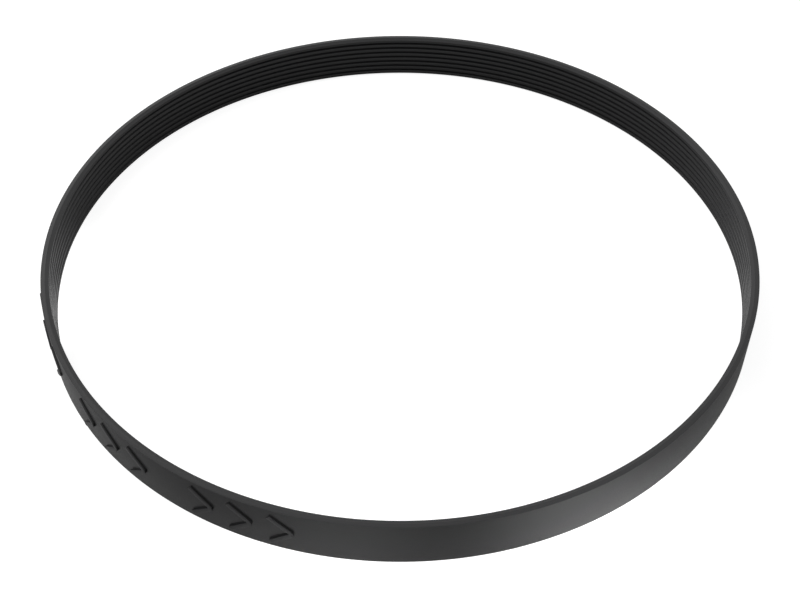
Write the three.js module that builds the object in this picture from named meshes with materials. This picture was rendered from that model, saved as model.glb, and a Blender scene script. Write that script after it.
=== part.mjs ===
// Serpentine belt: an endless multi-rib (poly-V) drive belt, moulded in one piece and lying on its
// side edge as an open round loop. The smooth back faces out and the ribs face in.
// Millimetres, +Z up. The origin is the centre of the loop, on the plane that the belt lies on.

import * as THREE from "three";

// Loop
const OUTSIDE_LENGTH = 1280; // round the smooth back
const LOOP_FACETS = 96; // a multiple of four, so that the loop is as wide along X as along Y

// Ribbed section, the standard PK profile
const RIB_COUNT = 8;
const RIB_PITCH = 3.56; // from one groove to the next
const RIB_HEIGHT = 2.15; // from the bottom of a groove to the tips of the ribs
const RIB_ANGLE = 40; // degrees between the two flanks of a rib
const BACKING_THICKNESS = 2.4; // from the back to the bottom of the grooves
const GROOVE_RADIUS = 0.15; // round bottom of a groove
const TIP_RADIUS = 0.2; // rounding along both corners of a rib's tip
const BACK_CORNER_RADIUS = 0.15; // where the back meets the cut side edges

// Facets on the round stretches of the section
const GROOVE_FACETS = 2;
const CORNER_FACETS = 1;

// Sizes that follow
const BACK_R = OUTSIDE_LENGTH / (2 * Math.PI);
const GROOVE_R = BACK_R - BACKING_THICKNESS;
const TIP_R = GROOVE_R - RIB_HEIGHT;
const BELT_WIDTH = RIB_COUNT * RIB_PITCH;

// Directions in the section: 0 points away from the loop's axis, along the radius, and the angle grows
// towards the top edge.
const OUTWARD = 0;
const UP = Math.PI / 2;
const INWARD = Math.PI;
const FLANK_LEAN = THREE.MathUtils.degToRad(RIB_ANGLE / 2); // between a flank and the radius
const FLANK_TURN = UP - FLANK_LEAN; // between a flank's normal and the radius

// The bottom of a groove is an arc that runs tangent into both flanks, centred inwards of the bottom.
const GROOVE_ARC_R = GROOVE_R - GROOVE_RADIUS;
const FLANK_RISE = RIB_HEIGHT - GROOVE_RADIUS * (1 - Math.sin(FLANK_LEAN));
const GROOVE_HALF_WIDTH = GROOVE_RADIUS * Math.cos(FLANK_LEAN) + FLANK_RISE * Math.tan(FLANK_LEAN);

// A corner arc starts this far from where the rib's tip and its flank would meet.
const TIP_HALF_WIDTH = RIB_PITCH / 2 - GROOVE_HALF_WIDTH;
const CORNER_RADIUS = Math.min(TIP_RADIUS, TIP_HALF_WIDTH / Math.tan(FLANK_TURN / 2));
const CORNER_SETBACK = CORNER_RADIUS * Math.tan(FLANK_TURN / 2);

function arc(r, z, radius, from, to, facets) {
  return new THREE.EllipseCurve(r, z, radius, radius, from, to, to < from).getPoints(facets);
}

// The back between the two cut side edges, from the lower edge up to the upper edge.
function back() {
  const r = BACK_R - BACK_CORNER_RADIUS;
  return [
    ...arc(r, BACK_CORNER_RADIUS, BACK_CORNER_RADIUS, -UP, OUTWARD, CORNER_FACETS),
    ...arc(r, BELT_WIDTH - BACK_CORNER_RADIUS, BACK_CORNER_RADIUS, OUTWARD, UP, CORNER_FACETS),
  ];
}

// The bottom of a groove, from its upper flank down to its lower flank. The belt is cut from a wider
// sleeve along the middle of a groove, so each side edge keeps half of one.
function groove(z) {
  return arc(GROOVE_ARC_R, z, GROOVE_RADIUS, FLANK_TURN, -FLANK_TURN, GROOVE_FACETS);
}

function halfGrooveBelowTheUpperEdge() {
  return arc(GROOVE_ARC_R, BELT_WIDTH, GROOVE_RADIUS, OUTWARD, -FLANK_TURN, CORNER_FACETS);
}

function halfGrooveAboveTheLowerEdge() {
  return arc(GROOVE_ARC_R, 0, GROOVE_RADIUS, FLANK_TURN, OUTWARD, CORNER_FACETS);
}

// The tip of a rib, from its upper corner down to its lower corner.
function ribTip(z) {
  const r = TIP_R + CORNER_RADIUS;
  const halfFlat = TIP_HALF_WIDTH - CORNER_SETBACK;
  return [
    ...arc(r, z + halfFlat, CORNER_RADIUS, INWARD - FLANK_TURN, INWARD, CORNER_FACETS),
    ...arc(r, z - halfFlat, CORNER_RADIUS, INWARD, INWARD + FLANK_TURN, CORNER_FACETS),
  ];
}

// The belt's closed section, as points of radius and height: up the back and down over the ribs.
function section() {
  const outline = [...back(), ...halfGrooveBelowTheUpperEdge()];
  for (let rib = RIB_COUNT - 1; rib >= 0; rib -= 1) {
    outline.push(...ribTip((rib + 0.5) * RIB_PITCH));
    if (rib > 0) {
      outline.push(...groove(rib * RIB_PITCH));
    }
  }
  outline.push(...halfGrooveAboveTheLowerEdge());
  outline.push(outline[0].clone());
  return outline;
}

function blackRubber() {
  return new THREE.MeshStandardMaterial({ color: "#2c2c2d", roughness: 0.55, metalness: 0 });
}

function makeBelt() {
  const geometry = new THREE.LatheGeometry(section(), LOOP_FACETS);
  geometry.rotateX(Math.PI / 2); // from the lathe's own Y axis to +Z up
  const belt = new THREE.Mesh(geometry, blackRubber());
  belt.name = "ribbed_belt";
  return belt;
}

const serpentineBelt = new THREE.Group();
serpentineBelt.add(makeBelt());

export default serpentineBelt;
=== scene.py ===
# A multi-rib serpentine belt of moulded rubber, lying on its side edge as an open round loop.
# Metres, +Z up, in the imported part's own frame: the loop's centre is at the origin.

import math

import bpy
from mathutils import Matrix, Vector


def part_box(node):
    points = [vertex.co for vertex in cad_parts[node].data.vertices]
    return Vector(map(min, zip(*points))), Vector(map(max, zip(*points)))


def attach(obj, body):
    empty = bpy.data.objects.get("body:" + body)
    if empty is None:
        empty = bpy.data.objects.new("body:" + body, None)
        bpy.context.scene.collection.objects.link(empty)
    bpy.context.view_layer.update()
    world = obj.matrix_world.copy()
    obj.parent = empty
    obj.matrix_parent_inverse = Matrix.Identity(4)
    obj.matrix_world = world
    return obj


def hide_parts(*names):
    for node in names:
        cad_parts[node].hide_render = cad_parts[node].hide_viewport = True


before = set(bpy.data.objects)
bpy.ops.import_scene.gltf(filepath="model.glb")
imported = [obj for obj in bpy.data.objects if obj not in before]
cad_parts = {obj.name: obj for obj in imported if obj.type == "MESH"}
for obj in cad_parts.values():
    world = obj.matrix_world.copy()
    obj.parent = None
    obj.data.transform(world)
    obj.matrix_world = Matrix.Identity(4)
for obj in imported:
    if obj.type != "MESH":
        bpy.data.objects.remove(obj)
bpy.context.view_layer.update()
BELT_LOW, BELT_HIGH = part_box("ribbed_belt")
MM = 0.001

# Sizes of the belt, those of the solid that it replaces
BACK_RADIUS = (BELT_HIGH.x - BELT_LOW.x) / 2
BELT_WIDTH = BELT_HIGH.z - BELT_LOW.z
RIB_COUNT = 8
RIB_HEIGHT = 2.15 * MM
FLANK_LEAN = math.radians(20)  # between a rib's flank and the radius
BACKING_THICKNESS = 2.4 * MM
GROOVE_RADIUS = 0.15 * MM
TIP_RADIUS = 0.2 * MM
BACK_CORNER_RADIUS = 0.15 * MM

# Facets, too fine to show
LOOP_FACETS = 480
CORNER_FACETS = 3
MERGE_DISTANCE = 0.001 * MM
SHARP_EDGE = math.radians(42)  # above the turn of one facet, below that of a cut edge

# Where one finish of the belt ends and the next begins
RIB_FINISH_REACH = 0.1 * MM  # past the groove bottoms
TIP_FINISH_REACH = 0.05 * MM  # past the rib tips
EDGE_FACING = 0.999  # how squarely a side edge faces up or down

# The section's points, by their index
POINTS_PER_RIB = 4.0  # root, tip, tip, root
RIB_MIDDLE = 1.5  # between its two tip points
HALF = 0.5  # of the step from one index to the next

# Raised marks on the back: plain chevrons that point the way the belt runs
MARK_HEIGHT = 19.5 * MM  # across the belt
MARK_LENGTH = 12.0 * MM  # along the belt
MARK_STROKE = 2.4 * MM
MARK_RELIEF = 1.1 * MM
MARK_ROOT = 0.5 * MM  # sunk into the back
MARK_CORNER_RADIUS = 0.15 * MM
MARK_POINT_RADIUS = 1.5 * MM
MARK_FACET = 1.0 * MM
MARK_POINTS = 3  # of a chevron's line
MARKS_IN_GROUP = 3
GROUP_COUNT = 4
FIRST_MARK_ANGLE = math.radians(-106.1)
MARK_TURN = math.radians(-6.0)  # from one chevron to the next
GROUP_TURN = math.radians(-23.8)  # from one group to the next

# Patterns of the rubber. Each is too fine to show at its real size, so it is drawn coarser.
SKIN_GRAIN = 0.8 * MM  # orange peel, really about 0.2 mm
GRINDING_LINES = 0.25 * MM  # spacing, really about 0.1 mm
CUTTING_LINES = 0.35 * MM  # spacing, really about 0.1 mm
LINE_RUN = 40 * MM  # how far a line runs before it fades
PATTERN_DETAIL = 3.0
PATTERN_LOW, PATTERN_HIGH = 0.3, 0.7  # nearly all of a pattern lies between them

# Camera, found from the outlines of the loop in the photograph
CAMERA_AZIMUTH = math.radians(-90)
CAMERA_DISTANCE = 0.7565
CAMERA_ELEVATION = math.radians(43.63)
CAMERA_PITCH = math.radians(45.01)  # below the horizon
CAMERA_LENS = 57.37  # mm, on a sensor 36 mm wide

# Stage. A strength of 1 is white.
WHITE = "#ffffff"
FLOOR_PAINT = "#aaaaaa"
FLOOR_DROP = 0.05 * MM  # keeps the floor and the belt's underside from flickering
FLOOR_SIZE = 8.0
FLOOR_GLOW = 0.84  # lifts the lit floor to white and leaves a faint shadow on it
FLOOR_GLOW_IN_REFLECTIONS = 0.05  # the rubber mirrors little but the floor's own lit paint
AMBIENT = 0.5

# Soft boxes round the loop's middle: name, azimuth, elevation, power, and whether the rubber
# mirrors it. Angles are in degrees and powers in watts.
SOFT_BOX_DISTANCE = 1.4
SOFT_BOX_SIZE = 1.0
SOFT_BOXES = (
    ("key_soft_box", 180, 48, 8.0, False),
    ("sheen_soft_box", 117, 44, 3.5, True),  # lightens the upper cut edge and the flank below it
)

# Spots that draw pools of light on the floor, for the back and the ribs at both ends to mirror:
# name, azimuth, step, the lamp's distance, power
STEP_OUT = 25 * MM  # from the back to the middle of a pool
STEP_IN = -8 * MM
SPOT_ELEVATION = 60  # degrees
SPOT_SIZE = 0.1  # a spot's width, as a share of its distance
SPOT_SPREAD = math.radians(17)
FLOOR_SPOTS = (
    ("front_spot", -97, STEP_OUT, 0.5, 0.027),
    ("right_spot", -64, STEP_OUT, 0.5, 0.068),
    ("right_shoulder_spot", -46, STEP_OUT, 0.5, 0.013),
    ("left_end_spot", -170, STEP_IN, 0.2, 0.006),
    ("left_ribs_spot", 178, STEP_IN, 0.25, 0.003),
    ("right_end_spot", -7, STEP_IN, 0.2, 0.0022),
    ("right_ribs_spot", 4, STEP_IN, 0.25, 0.0008),
)

# Kinds of node that are used often
MATH = "ShaderNodeMath"
VECTOR_MATH = "ShaderNodeVectorMath"
MIX = "ShaderNodeMix"
JOIN = "ShaderNodeCombineXYZ"
SPLIT = "ShaderNodeSeparateXYZ"


def add_node(tree, kind, *ordered, inputs=None, **settings):
    """Add a node. Its inputs are given in order or by name. Each is a value, another node's output,
    or another node, which stands for its first output."""
    made = tree.nodes.new(kind)
    for name, value in settings.items():
        setattr(made, name, value)
    for name, value in [*enumerate(ordered), *(inputs or {}).items()]:
        if isinstance(value, bpy.types.Node):
            value = value.outputs[0]
        if isinstance(value, bpy.types.NodeSocket):
            tree.links.new(value, made.inputs[name])
        else:
            made.inputs[name].default_value = value
    return made


def linear(hex_colour):
    """Turn an sRGB hex colour into linear RGBA."""
    channels = [int(hex_colour[i : i + 2], 16) / 255 for i in (1, 3, 5)]
    shades = [c / 12.92 if c <= 0.04045 else ((c + 0.055) / 1.055) ** 2.4 for c in channels]
    return shades + [1.0]


# Geometry


def new_tree(name, inputs):
    """Make a geometry tree with these named inputs, and return it with its input sockets."""
    tree = bpy.data.node_groups.new(name, "GeometryNodeTree")
    kinds = {int: "NodeSocketInt", float: "NodeSocketFloat"}
    for label, value in inputs.items():
        kind = kinds.get(type(value), "NodeSocketMaterial")
        tree.interface.new_socket(label, in_out="INPUT", socket_type=kind)
    tree.interface.new_socket("Geometry", in_out="OUTPUT", socket_type="NodeSocketGeometry")
    return tree, add_node(tree, "NodeGroupInput").outputs


def grow(name, tree, inputs):
    """Run a geometry tree with these inputs and keep the result as a plain mesh object."""
    carrier = bpy.data.objects.new(name + "_carrier", bpy.data.meshes.new(name + "_carrier"))
    bpy.context.scene.collection.objects.link(carrier)
    modifier = carrier.modifiers.new(tree.name, "NODES")
    modifier.node_group = tree
    for item in tree.interface.items_tree:
        if item.in_out == "INPUT":
            modifier[item.identifier] = inputs[item.name]
    evaluated = carrier.evaluated_get(bpy.context.evaluated_depsgraph_get())
    piece = bpy.data.objects.new(name, bpy.data.meshes.new_from_object(evaluated))
    piece.data.name = name
    bpy.context.scene.collection.objects.link(piece)
    bpy.data.objects.remove(carrier)
    return piece


def points_to_curve(tree, count, x, y, corner_radius, corner_facets, cyclic):
    """A line through points placed by their index, with rounded corners."""
    position = add_node(tree, JOIN, x, y)
    points = add_node(tree, "GeometryNodePoints", inputs={"Count": count, "Position": position})
    with_radius = add_node(
        tree,
        "GeometryNodeStoreNamedAttribute",
        inputs={"Geometry": points, "Name": "corner_radius", "Value": corner_radius},
    )
    line = add_node(tree, "GeometryNodePointsToCurves", inputs={"Points": with_radius})
    closed = add_node(
        tree, "GeometryNodeSetSplineCyclic", inputs={"Geometry": line, "Cyclic": cyclic}
    )
    stored = add_node(tree, "GeometryNodeInputNamedAttribute", inputs={"Name": "corner_radius"})
    return add_node(
        tree,
        "GeometryNodeFilletCurve",
        inputs={
            "Curve": closed,
            "Count": corner_facets,
            "Radius": stored.outputs["Attribute"],
            "Limit Radius": False,
        },
        mode="POLY",
    )


def sweep(tree, path, profile, capped):
    """A profile swept along a path that lies flat. The profile's Y runs down."""
    upright = add_node(tree, "GeometryNodeSetCurveNormal", inputs={"Curve": path}, mode="Z_UP")
    inputs = {"Curve": upright, "Profile Curve": profile, "Fill Caps": capped}
    return add_node(tree, "GeometryNodeCurveToMesh", inputs=inputs)


def smooth_with_cut_edges(tree, mesh):
    """Smooth shading that stays crisp where the mesh turns sharply."""
    smooth = add_node(tree, "GeometryNodeSetShadeSmooth", inputs={"Geometry": mesh})
    turn = add_node(tree, "GeometryNodeInputMeshEdgeAngle")
    sharp = add_node(tree, MATH, turn, SHARP_EDGE, operation="GREATER_THAN")
    return add_node(
        tree,
        "GeometryNodeSetShadeSmooth",
        inputs={"Geometry": smooth, "Selection": sharp, "Shade Smooth": False},
        domain="EDGE",
    )


def section_curve(tree, size):
    """The belt's section. Its points go up the ribbed inner side and down the back: two for each
    flank, one where each side edge meets the ribs, and the back's two corners. X is the distance
    out from the back, and Y runs down."""
    width = add_node(tree, MATH, size["Rib Count"], size["Rib Pitch"], operation="MULTIPLY")
    groove_x = add_node(tree, MATH, size["Backing Thickness"], -1.0, operation="MULTIPLY")
    tip_x = add_node(tree, MATH, groove_x, size["Rib Height"], operation="SUBTRACT")

    # Which point it is. The ribs end at the upper side edge's point, and the back's two follow.
    index = add_node(tree, "GeometryNodeInputIndex")
    ribs_end = add_node(
        tree, MATH, size["Rib Count"], POINTS_PER_RIB, 1.0, operation="MULTIPLY_ADD"
    )
    step = add_node(tree, MATH, index, 1.0, operation="SUBTRACT")
    ribs_passed = add_node(tree, MATH, step, POINTS_PER_RIB, operation="DIVIDE")
    rib = add_node(tree, MATH, ribs_passed, operation="FLOOR")
    corner = add_node(tree, MATH, step, POINTS_PER_RIB, operation="FLOORED_MODULO")
    from_middle = add_node(tree, MATH, corner, RIB_MIDDLE, operation="SUBTRACT")
    away = add_node(tree, MATH, from_middle, operation="ABSOLUTE")
    on_tip = add_node(tree, MATH, away, 1.0, operation="LESS_THAN")
    past_ribs = add_node(tree, MATH, ribs_end, HALF, operation="ADD")
    on_back = add_node(tree, MATH, index, past_ribs, operation="GREATER_THAN")
    top_corner = add_node(tree, MATH, ribs_end, 1.0, operation="ADD")
    on_top_corner = add_node(tree, MATH, index, top_corner, HALF, operation="COMPARE")
    on_lower_end = add_node(tree, MATH, index, HALF, operation="LESS_THAN")
    on_upper_end = add_node(tree, MATH, index, ribs_end, HALF, operation="COMPARE")
    on_end = add_node(tree, MATH, on_lower_end, on_upper_end, operation="MAXIMUM")

    # How far out it lies
    rib_x = add_node(tree, MIX, inputs={"Factor": on_tip, "A": groove_x, "B": tip_x})
    x = add_node(tree, MIX, inputs={"Factor": on_back, "A": rib_x, "B": 0.0})

    # How high it lies: each rib stands round its own middle, and none goes past a side edge
    half_widths = {"A": size["Root Half Width"], "B": size["Tip Half Width"]}
    half_width = add_node(tree, MIX, inputs={"Factor": on_tip, **half_widths})
    pitches = add_node(tree, MATH, rib, HALF, operation="ADD")
    middle = add_node(tree, MATH, pitches, size["Rib Pitch"], operation="MULTIPLY")
    side = add_node(tree, MATH, from_middle, operation="SIGN")
    rib_z = add_node(tree, MATH, side, half_width, middle, operation="MULTIPLY_ADD")
    rib_z = add_node(tree, MATH, rib_z, 0.0, operation="MAXIMUM")
    rib_z = add_node(tree, MATH, rib_z, width, operation="MINIMUM")
    back_z = add_node(tree, MATH, on_top_corner, width, operation="MULTIPLY")
    z = add_node(tree, MIX, inputs={"Factor": on_back, "A": rib_z, "B": back_z})
    y = add_node(tree, MATH, z, -1.0, operation="MULTIPLY")

    # How round it is
    rib_radii = {"A": size["Groove Radius"], "B": size["Tip Radius"]}
    radius = add_node(tree, MIX, inputs={"Factor": on_tip, **rib_radii})
    back_radii = {"A": radius, "B": size["Back Corner Radius"]}
    radius = add_node(tree, MIX, inputs={"Factor": on_back, **back_radii})
    radius = add_node(tree, MIX, inputs={"Factor": on_end, "A": radius, "B": 0.0})

    count = add_node(tree, MATH, ribs_end, 3.0, operation="ADD")
    return points_to_curve(tree, count, x, y, radius, size["Corner Facets"], True)


def belt_tree(inputs):
    """The section swept round the loop. The back, the rib flanks, the rib tips and the side edges
    each have a material of their own."""
    tree, size = new_tree("belt_loop", inputs)
    loop = add_node(
        tree,
        "GeometryNodeCurvePrimitiveCircle",
        inputs={"Resolution": size["Loop Facets"], "Radius": size["Back Radius"]},
    )
    swept = sweep(tree, loop, section_curve(tree, size), False)
    merged = add_node(
        tree,
        "GeometryNodeMergeByDistance",
        inputs={"Geometry": swept, "Distance": MERGE_DISTANCE},
    )
    shaded = smooth_with_cut_edges(tree, merged)
    geometry = add_node(tree, "GeometryNodeRealizeInstances", inputs={"Geometry": shaded})

    # A face's distance from the axis tells ribs and tips, and its normal tells the side edges
    place = add_node(tree, "GeometryNodeInputPosition")
    flat = add_node(tree, VECTOR_MATH, place, (1, 1, 0), operation="MULTIPLY")
    radius = add_node(tree, VECTOR_MATH, flat, operation="LENGTH").outputs["Value"]
    groove_radius = add_node(
        tree, MATH, size["Back Radius"], size["Backing Thickness"], operation="SUBTRACT"
    )
    tip_radius = add_node(tree, MATH, groove_radius, size["Rib Height"], operation="SUBTRACT")
    rib_limit = add_node(tree, MATH, groove_radius, RIB_FINISH_REACH, operation="ADD")
    tip_limit = add_node(tree, MATH, tip_radius, TIP_FINISH_REACH, operation="ADD")
    on_ribs = add_node(tree, MATH, radius, rib_limit, operation="LESS_THAN")
    on_tips = add_node(tree, MATH, radius, tip_limit, operation="LESS_THAN")
    facing = add_node(tree, SPLIT, add_node(tree, "GeometryNodeInputNormal")).outputs["Z"]
    up_or_down = add_node(tree, MATH, facing, operation="ABSOLUTE")
    on_edges = add_node(tree, MATH, up_or_down, EDGE_FACING, operation="GREATER_THAN")

    for selection, material in (
        (True, "Back"),
        (on_ribs, "Rib Flanks"),
        (on_tips, "Rib Tips"),
        (on_edges, "Side Edges"),
    ):
        geometry = add_node(
            tree,
            "GeometryNodeSetMaterial",
            inputs={"Geometry": geometry, "Selection": selection, "Material": size[material]},
        )
    add_node(tree, "NodeGroupOutput", inputs={"Geometry": geometry})
    return tree


def make_belt(back, flanks, tips, side_edges):
    """The whole belt, in place of its solid."""
    pitch = BELT_WIDTH / RIB_COUNT
    root_half = pitch / 2 - GROOVE_RADIUS * (1 - math.sin(FLANK_LEAN)) / math.cos(FLANK_LEAN)
    inputs = {
        "Back Radius": BACK_RADIUS,
        "Rib Count": RIB_COUNT,
        "Rib Pitch": pitch,
        "Rib Height": RIB_HEIGHT,
        "Backing Thickness": BACKING_THICKNESS,
        "Root Half Width": root_half,
        "Tip Half Width": root_half - RIB_HEIGHT * math.tan(FLANK_LEAN),
        "Groove Radius": GROOVE_RADIUS,
        "Tip Radius": TIP_RADIUS,
        "Back Corner Radius": BACK_CORNER_RADIUS,
        "Loop Facets": LOOP_FACETS,
        "Corner Facets": CORNER_FACETS,
        "Back": back,
        "Rib Flanks": flanks,
        "Rib Tips": tips,
        "Side Edges": side_edges,
    }
    belt = grow("rubber_belt", belt_tree(inputs), inputs)
    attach(belt, "root")
    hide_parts("ribbed_belt")


def chevron_mesh(tree, size):
    """One chevron, lying flat round the origin, with its point towards +X."""
    index = add_node(tree, "GeometryNodeInputIndex")
    on_point = add_node(tree, MATH, index, 1.0, HALF, operation="COMPARE")
    half_length = add_node(tree, MATH, size["Mark Length"], 2.0, operation="DIVIDE")
    half_height = add_node(tree, MATH, size["Mark Height"], 2.0, operation="DIVIDE")
    forward = add_node(tree, MATH, on_point, 2.0, -1.0, operation="MULTIPLY_ADD")
    x = add_node(tree, MATH, forward, half_length, operation="MULTIPLY")
    up = add_node(tree, MATH, 1.0, index, operation="SUBTRACT")
    y = add_node(tree, MATH, up, half_height, operation="MULTIPLY")
    radius = add_node(tree, MATH, on_point, size["Point Radius"], operation="MULTIPLY")
    line = points_to_curve(tree, MARK_POINTS, x, y, radius, size["Corner Facets"], False)
    even = add_node(
        tree,
        "GeometryNodeResampleCurve",
        inputs={"Curve": line, "Length": size["Facet Length"]},
        mode="LENGTH",
    )
    depth = add_node(tree, MATH, size["Relief"], size["Root"], operation="ADD")
    box = add_node(
        tree,
        "GeometryNodeCurvePrimitiveQuadrilateral",
        inputs={"Width": size["Stroke"], "Height": depth},
    )
    profile = add_node(
        tree,
        "GeometryNodeFilletCurve",
        inputs={
            "Curve": box,
            "Count": size["Corner Facets"],
            "Radius": size["Corner Radius"],
            "Limit Radius": False,
        },
        mode="POLY",
    )
    return sweep(tree, even, profile, True)


def marks_tree(inputs):
    """Chevrons in groups along a straight line, then wrapped round the back."""
    tree, size = new_tree("running_marks", inputs)
    chevron = chevron_mesh(tree, size)

    # Where each one stands along the line
    index = add_node(tree, "GeometryNodeInputIndex")
    groups_passed = add_node(tree, MATH, index, size["Marks in Group"], operation="DIVIDE")
    group = add_node(tree, MATH, groups_passed, operation="FLOOR")
    in_group = add_node(tree, MATH, index, size["Marks in Group"], operation="FLOORED_MODULO")
    angle = add_node(
        tree, MATH, in_group, size["Mark Turn"], size["First Angle"], operation="MULTIPLY_ADD"
    )
    angle = add_node(tree, MATH, group, size["Group Turn"], angle, operation="MULTIPLY_ADD")
    along = add_node(tree, MATH, angle, size["Back Radius"], operation="MULTIPLY")
    proud = add_node(tree, MATH, size["Relief"], size["Root"], operation="SUBTRACT")
    lift = add_node(tree, MATH, proud, 2.0, operation="DIVIDE")
    count = add_node(tree, MATH, size["Marks in Group"], size["Groups"], operation="MULTIPLY")
    place = add_node(tree, JOIN, along, 0.0, lift)
    points = add_node(tree, "GeometryNodePoints", inputs={"Count": count, "Position": place})
    marks = add_node(
        tree, "GeometryNodeInstanceOnPoints", inputs={"Points": points, "Instance": chevron}
    )
    realized = add_node(tree, "GeometryNodeRealizeInstances", inputs={"Geometry": marks})

    # The line wrapped round the back: X turns into an angle, and Z into the distance out
    flat = add_node(tree, SPLIT, add_node(tree, "GeometryNodeInputPosition")).outputs
    turn = add_node(tree, MATH, flat["X"], size["Back Radius"], operation="DIVIDE")
    out = add_node(tree, MATH, flat["Z"], size["Back Radius"], operation="ADD")
    cosine = add_node(tree, MATH, turn, operation="COSINE")
    sine = add_node(tree, MATH, turn, operation="SINE")
    x = add_node(tree, MATH, out, cosine, operation="MULTIPLY")
    y = add_node(tree, MATH, out, sine, operation="MULTIPLY")
    z = add_node(tree, MATH, flat["Y"], size["Middle Height"], operation="ADD")
    wrapped_at = add_node(tree, JOIN, x, y, z)
    wrapped = add_node(
        tree,
        "GeometryNodeSetPosition",
        inputs={"Geometry": realized, "Position": wrapped_at},
    )
    shaded = smooth_with_cut_edges(tree, wrapped)
    finished = add_node(
        tree,
        "GeometryNodeSetMaterial",
        inputs={"Geometry": shaded, "Material": size["Marks"]},
    )
    add_node(tree, "NodeGroupOutput", inputs={"Geometry": finished})
    return tree


def make_marks(rubber):
    """The chevrons, moulded with the back and of its rubber."""
    inputs = {
        "Back Radius": BACK_RADIUS,
        "Middle Height": BELT_WIDTH / 2,
        "Mark Height": MARK_HEIGHT,
        "Mark Length": MARK_LENGTH,
        "Stroke": MARK_STROKE,
        "Relief": MARK_RELIEF,
        "Root": MARK_ROOT,
        "Corner Radius": MARK_CORNER_RADIUS,
        "Point Radius": MARK_POINT_RADIUS,
        "Corner Facets": CORNER_FACETS,
        "Facet Length": MARK_FACET,
        "Marks in Group": MARKS_IN_GROUP,
        "Groups": GROUP_COUNT,
        "First Angle": FIRST_MARK_ANGLE,
        "Mark Turn": MARK_TURN,
        "Group Turn": GROUP_TURN,
        "Marks": rubber,
    }
    marks = grow("raised_running_marks", marks_tree(inputs), inputs)
    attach(marks, "root")


# Materials


def new_material(name):
    """An empty material, and its node tree."""
    material = bpy.data.materials.new(name)
    material.use_nodes = True
    material.node_tree.nodes.clear()
    return material, material.node_tree


def rubber_surface(tree, colour, specular, roughness, pattern, depth):
    """A Principled surface. The pattern varies its roughness from low to high, and raises it by up
    to the depth."""
    low, high = roughness
    varied = add_node(
        tree,
        "ShaderNodeMapRange",
        inputs={
            "Value": pattern,
            "From Min": PATTERN_LOW,
            "From Max": PATTERN_HIGH,
            "To Min": low,
            "To Max": high,
        },
    )
    bump = add_node(tree, "ShaderNodeBump", inputs={"Height": pattern, "Distance": depth})
    shader = add_node(
        tree,
        "ShaderNodeBsdfPrincipled",
        inputs={
            "Base Color": linear(colour),
            "Specular IOR Level": specular,
            "Roughness": varied,
            "Normal": bump,
        },
    )
    add_node(tree, "ShaderNodeOutputMaterial", inputs={"Surface": shader})


def moulded_rubber(name, colour, specular, roughness, depth):
    """Rubber cured against a smooth drum: a close skin with a fine orange peel."""
    material, tree = new_material(name)
    place = add_node(tree, "ShaderNodeTexCoord").outputs["Object"]
    grain = add_node(
        tree,
        "ShaderNodeTexNoise",
        inputs={"Vector": place, "Scale": 1 / SKIN_GRAIN, "Detail": PATTERN_DETAIL},
    )
    rubber_surface(tree, colour, specular, roughness, grain, depth)
    return material


def cut_rubber(name, colour, specular, roughness, spacing, depth):
    """Rubber that a wheel or a knife has cut: fine lines run round the loop and fade along it."""
    material, tree = new_material(name)
    place = add_node(tree, "ShaderNodeTexCoord").outputs["Object"]
    split = add_node(tree, SPLIT, place).outputs
    flat = add_node(tree, VECTOR_MATH, place, (1, 1, 0), operation="MULTIPLY")
    radius = add_node(tree, VECTOR_MATH, flat, operation="LENGTH").outputs["Value"]
    across = add_node(tree, MATH, radius, split["Z"], operation="ADD")
    drawn_out = add_node(tree, MATH, across, LINE_RUN / spacing, operation="MULTIPLY")
    lines = add_node(
        tree,
        "ShaderNodeTexNoise",
        inputs={
            "Vector": add_node(tree, JOIN, split["X"], split["Y"], drawn_out),
            "Scale": 1 / LINE_RUN,
            "Detail": PATTERN_DETAIL,
        },
    )
    rubber_surface(tree, colour, specular, roughness, lines, depth)
    return material


# Stage, light and camera


def make_floor():
    """A pale floor. It shows nearly white, and keeps the belt's soft shadow."""
    half = FLOOR_SIZE / 2
    corners = [(-half, -half), (half, -half), (half, half), (-half, half)]
    mesh = bpy.data.meshes.new("studio_floor")
    mesh.from_pydata([(x, y, -FLOOR_DROP) for x, y in corners], [], [(0, 1, 2, 3)])
    floor = bpy.data.objects.new("studio_floor", mesh)
    bpy.context.scene.collection.objects.link(floor)

    material, tree = new_material("pale_studio_floor")
    rays = add_node(tree, "ShaderNodeLightPath").outputs
    reflected = add_node(
        tree, MATH, rays["Is Glossy Ray"], rays["Is Transmission Ray"], operation="MAXIMUM"
    )
    seen = add_node(
        tree, MIX, inputs={"Factor": rays["Is Camera Ray"], "A": 0.0, "B": FLOOR_GLOW}
    )
    glow = add_node(
        tree, MIX, inputs={"Factor": reflected, "A": seen, "B": FLOOR_GLOW_IN_REFLECTIONS}
    )
    paint = add_node(tree, "ShaderNodeBsdfDiffuse", inputs={"Color": linear(FLOOR_PAINT)})
    light = add_node(
        tree, "ShaderNodeEmission", inputs={"Color": linear(WHITE), "Strength": glow}
    )
    both = add_node(tree, "ShaderNodeAddShader", paint, light)
    add_node(tree, "ShaderNodeOutputMaterial", inputs={"Surface": both})
    mesh.materials.append(material)


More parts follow.
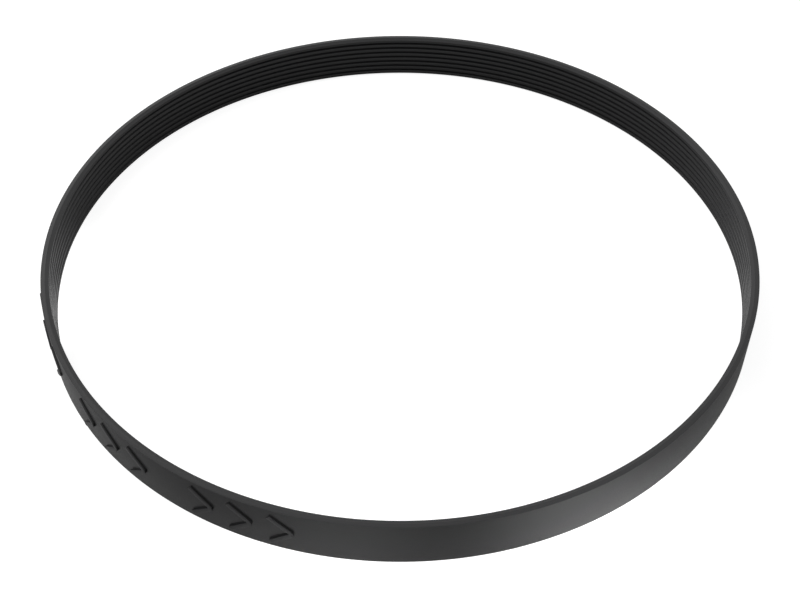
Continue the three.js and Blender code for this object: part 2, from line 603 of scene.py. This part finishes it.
def make_world():
    """White wherever it is seen or mirrored, and a plain soft light on everything."""
    world = bpy.data.worlds.new("white_studio")
    world.use_nodes = True
    tree = world.node_tree
    tree.nodes.clear()
    rays = add_node(tree, "ShaderNodeLightPath").outputs
    reflected = add_node(
        tree, MATH, rays["Is Glossy Ray"], rays["Is Transmission Ray"], operation="MAXIMUM"
    )
    shown = add_node(tree, MATH, rays["Is Camera Ray"], reflected, operation="MAXIMUM")
    strength = add_node(tree, MIX, inputs={"Factor": shown, "A": AMBIENT, "B": 1.0})
    background = add_node(
        tree, "ShaderNodeBackground", inputs={"Color": linear(WHITE), "Strength": strength}
    )
    add_node(tree, "ShaderNodeOutputWorld", inputs={"Surface": background})
    bpy.context.scene.world = world


def direction(azimuth, elevation):
    """A unit vector. Its angles are in radians, and azimuth 0 is +X."""
    return Vector(
        (
            math.cos(elevation) * math.cos(azimuth),
            math.cos(elevation) * math.sin(azimuth),
            math.sin(elevation),
        )
    )


def add_lamp(name, target, azimuth, elevation, distance, size, power, mirrored):
    """A square lamp that faces a target, and stands at these angles, in degrees, from it."""
    data = bpy.data.lights.new(name, "AREA")
    data.size = size
    data.energy = power
    lamp = bpy.data.objects.new(name, data)
    out = direction(math.radians(azimuth), math.radians(elevation))
    lamp.location = target + out * distance
    lamp.rotation_euler = out.to_track_quat("Z", "Y").to_euler()
    lamp.visible_camera = False
    lamp.visible_glossy = mirrored
    bpy.context.scene.collection.objects.link(lamp)
    return lamp


def add_floor_spot(name, azimuth, step, distance, power):
    """A gridded spot over the floor. Its pool of light lies a step out from the back, or in from it
    where the step is negative, and the lamp is on that side."""
    target = direction(math.radians(azimuth), 0) * (BACK_RADIUS + step)
    side = azimuth if step > 0 else azimuth + 180
    size = distance * SPOT_SIZE
    spot = add_lamp(name, target, side, SPOT_ELEVATION, distance, size, power, False)
    spot.data.spread = SPOT_SPREAD


def make_camera():
    """The camera stands where the photograph was taken from."""
    data = bpy.data.cameras.new("camera")
    data.lens = CAMERA_LENS
    camera = bpy.data.objects.new("camera", data)
    camera.location = direction(CAMERA_AZIMUTH, CAMERA_ELEVATION) * CAMERA_DISTANCE
    camera.rotation_euler = (math.radians(90) - CAMERA_PITCH, 0.0, 0.0)  # unturned, it looks down
    bpy.context.scene.collection.objects.link(camera)
    bpy.context.scene.camera = camera


# All of it is EPDM rubber, black with carbon. Its IOR is about 1.5, which is the default, and a
# specular level under 0.5 takes back the sheen of a cut surface.

# The back is cured against a drum. That gives it a satin skin: wide soft highlights, and hardly
# any grain.
moulded = moulded_rubber(
    "moulded_epdm_rubber",
    colour="#171718",
    specular=0.5,
    roughness=(0.28, 0.36),
    depth=0.02 * MM,
)

# The grinding wheel leaves the flanks dull: a weak, broad sheen, with the grooves dark between.
ground = cut_rubber(
    "ground_epdm_rib_flank",
    colour="#161617",
    specular=0.34,
    roughness=(0.40, 0.50),
    spacing=GRINDING_LINES,
    depth=0.015 * MM,
)

# The tips are smoother than the flanks: each shows as a clean line that mirrors the floor.
polished = cut_rubber(
    "polished_epdm_rib_tip",
    colour="#171718",
    specular=0.5,
    roughness=(0.16, 0.24),
    spacing=GRINDING_LINES,
    depth=0.008 * MM,
)

# The knife leaves the side edges even and matt, with faint lines: a plain dark grey band.
knife_cut = cut_rubber(
    "cut_epdm_side_edge",
    colour="#141415",
    specular=0.4,
    roughness=(0.42, 0.52),
    spacing=CUTTING_LINES,
    depth=0.03 * MM,
)

make_camera()
make_belt(moulded, ground, polished, knife_cut)
make_marks(moulded)
make_floor()
make_world()
for name, azimuth, elevation, power, mirrored in SOFT_BOXES:
    place = (azimuth, elevation, SOFT_BOX_DISTANCE)
    add_lamp(name, Vector((0, 0, 0)), *place, SOFT_BOX_SIZE, power, mirrored)
for name, azimuth, step, distance, power in FLOOR_SPOTS:
    add_floor_spot(name, azimuth, step, distance, power)

bpy.context.scene.view_settings.view_transform = "Standard"
